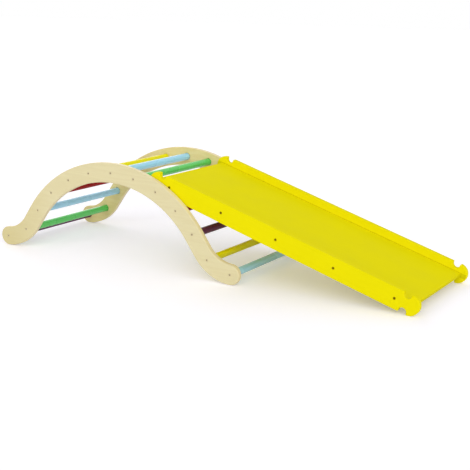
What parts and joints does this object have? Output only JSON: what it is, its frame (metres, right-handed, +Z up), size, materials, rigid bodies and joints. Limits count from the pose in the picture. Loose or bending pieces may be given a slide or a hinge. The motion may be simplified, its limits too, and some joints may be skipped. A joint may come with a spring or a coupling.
{
  "type": "pikler triangle set",
  "caption": "Toddler climbing arch: bent plywood side panels joined by painted dowel rungs, with a lift-off reversible ramp hooked over one rung.",
  "frame": {"origin": "middle of the whole set's length and width, on the floor", "axes": "+X along the set towards the foot of the ramp, +Y across it towards the far side panel, +Z up"},
  "size_m": [1.585, 0.468, 0.3411],
  "materials": {
    "birch_plywood": "pale birch plywood, clear satin lacquer",
    "ramp_paint": "bright yellow satin paint on plywood",
    "screw_steel": "dark bronzed steel screw",
    "rung_yellow": "yellow satin paint on a beech dowel",
    "rung_blue": "light blue satin paint on a beech dowel",
    "rung_green": "green satin paint on a beech dowel",
    "rung_red": "dark red satin paint on a beech dowel",
    "rung_purple": "dark purple satin paint on a beech dowel"
  },
  "bodies": {
    "arch": {"arch_side_far": "birch_plywood", "arch_side_near": "birch_plywood", "rung_01": "rung_purple", "rung_02": "rung_green", "rung_03": "rung_blue", "rung_04": "rung_red", "rung_05": "rung_purple", "rung_06": "rung_yellow", "rung_07": "rung_blue", "rung_08": "rung_green", "rung_10": "rung_red", "rung_11": "rung_purple", "rung_12": "rung_yellow", "rung_13": "rung_blue", "rung_screw_far_01": "screw_steel", "rung_screw_far_02": "screw_steel", "rung_screw_far_03": "screw_steel", "rung_screw_far_04": "screw_steel", "rung_screw_far_05": "screw_steel", "rung_screw_far_06": "screw_steel", "rung_screw_far_07": "screw_steel", "rung_screw_far_08": "screw_steel", "rung_screw_far_09": "screw_steel", "rung_screw_far_10": "screw_steel", "rung_screw_far_11": "screw_steel", "rung_screw_far_12": "screw_steel", "rung_screw_far_13": "screw_steel", "rung_screw_near_01": "screw_steel", "rung_screw_near_02": "screw_steel", "rung_screw_near_03": "screw_steel", "rung_screw_near_04": "screw_steel", "rung_screw_near_05": "screw_steel", "rung_screw_near_06": "screw_steel", "rung_screw_near_07": "screw_steel", "rung_screw_near_08": "screw_steel", "rung_screw_near_09": "screw_steel", "rung_screw_near_10": "screw_steel", "rung_screw_near_11": "screw_steel", "rung_screw_near_12": "screw_steel", "rung_screw_near_13": "screw_steel"},
    "ramp_rung": {"rung_09": "rung_blue"},
    "ramp": {"ramp_batten_1": "ramp_paint", "ramp_batten_2": "ramp_paint", "ramp_batten_3": "ramp_paint", "ramp_batten_4": "ramp_paint", "ramp_batten_5": "ramp_paint", "ramp_board_far": "ramp_paint", "ramp_board_near": "ramp_paint", "ramp_deck": "ramp_paint", "ramp_screw_far_1": "screw_steel", "ramp_screw_far_2": "screw_steel", "ramp_screw_far_3": "screw_steel", "ramp_screw_far_4": "screw_steel", "ramp_screw_far_5": "screw_steel", "ramp_screw_near_1": "screw_steel", "ramp_screw_near_2": "screw_steel", "ramp_screw_near_3": "screw_steel", "ramp_screw_near_4": "screw_steel", "ramp_screw_near_5": "screw_steel"}
  },
  "joints": [
    {"name": "ramp_tilt", "type": "hinge", "parent": "arch", "child": "ramp_rung", "pos_m": [-0.11084, 0, 0.26448], "axis": [0, -1, 0], "range_deg": [0, 40]},
    {"name": "ramp_lift_off", "type": "slide", "parent": "ramp_rung", "child": "ramp", "axis": [0.2874, 0, 0.9578], "range_m": [0, 0.15]}
  ]
}
